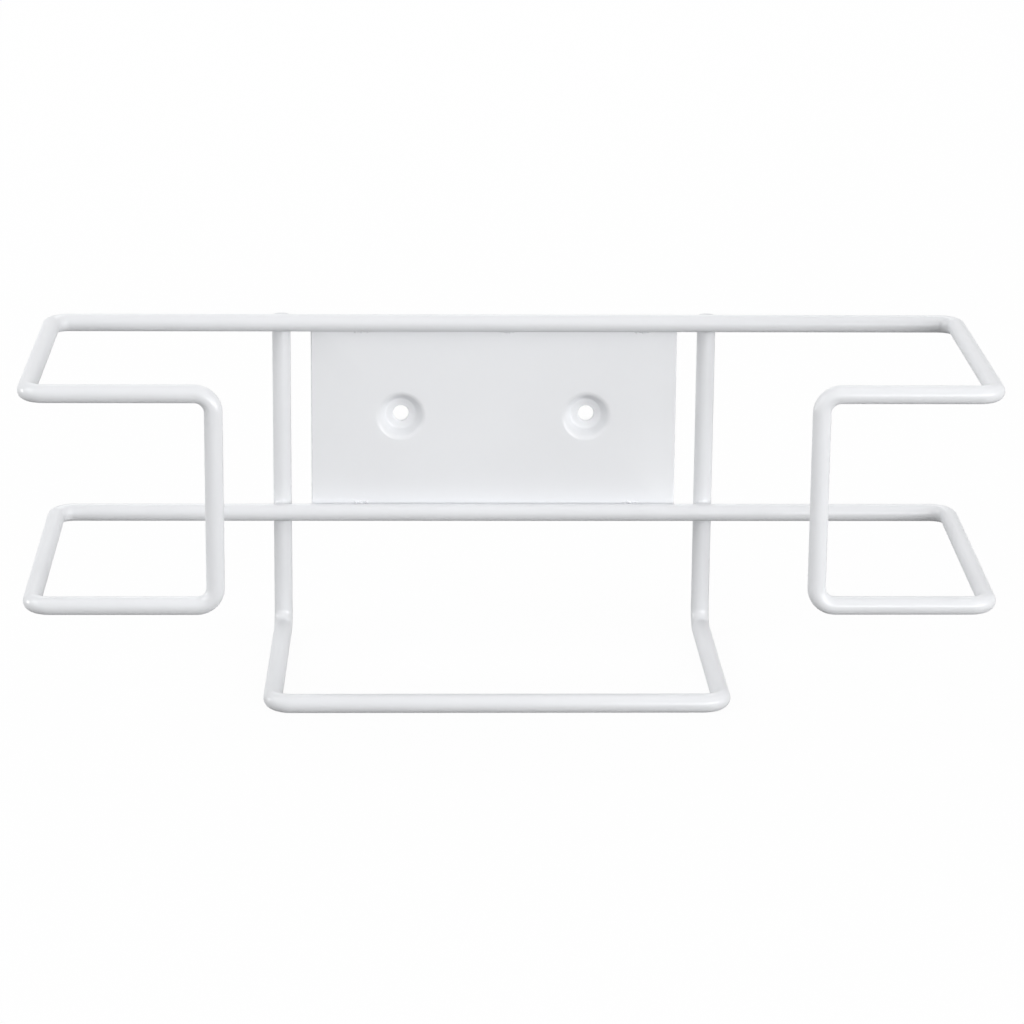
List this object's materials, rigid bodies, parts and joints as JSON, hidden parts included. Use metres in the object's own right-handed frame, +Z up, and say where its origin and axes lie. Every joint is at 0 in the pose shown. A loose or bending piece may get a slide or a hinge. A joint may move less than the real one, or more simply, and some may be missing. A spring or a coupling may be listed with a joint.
{
  "type": "wire glove box holder",
  "caption": "Coated wire wall holder for a box of disposable gloves: a bent loop with a front gap, a forward shelf and a dimpled screw plate.",
  "frame": {"origin": "midway between the two screw holes, on the wall that the plate is screwed to", "axes": "+X right along the rails, +Y into the wall, +Z up; the gloves are drawn out towards -Y"},
  "size_m": [0.28, 0.1016, 0.1045],
  "materials": {
    "coated_wire": "smooth gloss white coating on steel rod",
    "coated_plate": "smooth gloss white coating on pressed sheet steel"
  },
  "bodies": {
    "root": {"loop_wire": "coated_wire", "cradle_wire": "coated_wire", "mounting_plate": "coated_plate"}
  },
  "joints": []
}
